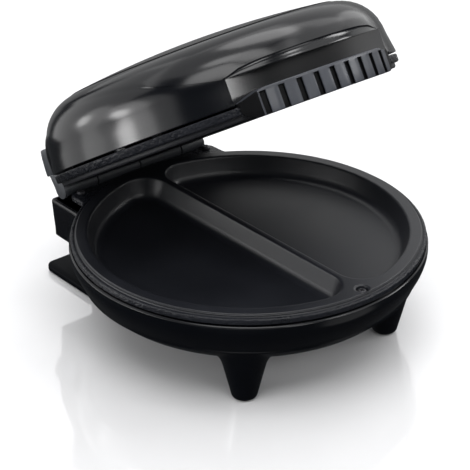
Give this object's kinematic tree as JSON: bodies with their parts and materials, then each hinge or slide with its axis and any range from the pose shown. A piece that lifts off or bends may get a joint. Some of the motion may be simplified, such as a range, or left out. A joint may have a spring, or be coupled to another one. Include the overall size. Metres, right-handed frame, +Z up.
{
  "type": "electric omelette maker",
  "caption": "Round electric omelette maker with a domed hinged lid, a ribbed front grip, half-round non-stick wells, cone feet and a rear stand",
  "frame": {"origin": "middle of the floor area, on the floor under the feet", "axes": "+Z up, -Y towards the grip at the front, +X to the right seen from the front; the lid stands 31.5 degrees open"},
  "size_m": [0.22, 0.2502, 0.2157],
  "materials": {
    "gloss_black": "glossy",
    "matte_black": "satin",
    "rubber_black": "matte",
    "nonstick": "satin",
    "element_steel": "satin",
    "zinc_steel": "satin",
    "reflector_aluminium": "satin",
    "ceramic_white": "matte",
    "lead_sleeve": "matte",
    "hinge_grey": "matte",
    "lens_red": "glossy",
    "lens_green": "glossy",
    "lamp_glass": "clear",
    "board_green": "matte"
  },
  "bodies": {
    "base": {"base_housing": "gloss_black", "rear_stand": "matte_black", "foot_pads": "rubber_black", "lower_plate": "nonstick", "lower_element": "element_steel", "lower_element_clamps": "zinc_steel", "lower_reflector": "reflector_aluminium", "thermostat": "ceramic_white", "thermal_fuse": "zinc_steel", "terminal_block": "ceramic_white", "base_leads": "lead_sleeve", "cord_gland": "rubber_black", "base_hinge": "hinge_grey", "hinge_pins": "zinc_steel", "lower_plate_screws": "zinc_steel", "stand_screws": "zinc_steel", "hinge_screws": "zinc_steel", "reflector_screws": "zinc_steel"},
    "lid": {"lid_shell": "gloss_black", "top_cover": "gloss_black", "grip": "matte_black", "upper_plate": "nonstick", "upper_element": "element_steel", "upper_element_clamps": "zinc_steel", "upper_reflector": "reflector_aluminium", "lid_leads": "lead_sleeve", "lid_ear_left": "hinge_grey", "lid_ear_right": "hinge_grey", "hinge_cover": "hinge_grey", "power_lens": "lens_red", "ready_lens": "lens_green", "power_lamp": "lamp_glass", "ready_lamp": "lamp_glass", "lamp_board": "board_green", "upper_plate_screws": "zinc_steel", "ear_screws": "zinc_steel", "grip_screws": "zinc_steel", "upper_reflector_screws": "zinc_steel"}
  },
  "joints": [
    {"name": "lid_hinge", "type": "hinge", "parent": "base", "child": "lid", "pos_m": [0, 0.09852, 0.0675], "axis": [-1, 0, 0], "range_deg": [-31.5, 66.5]}
  ]
}
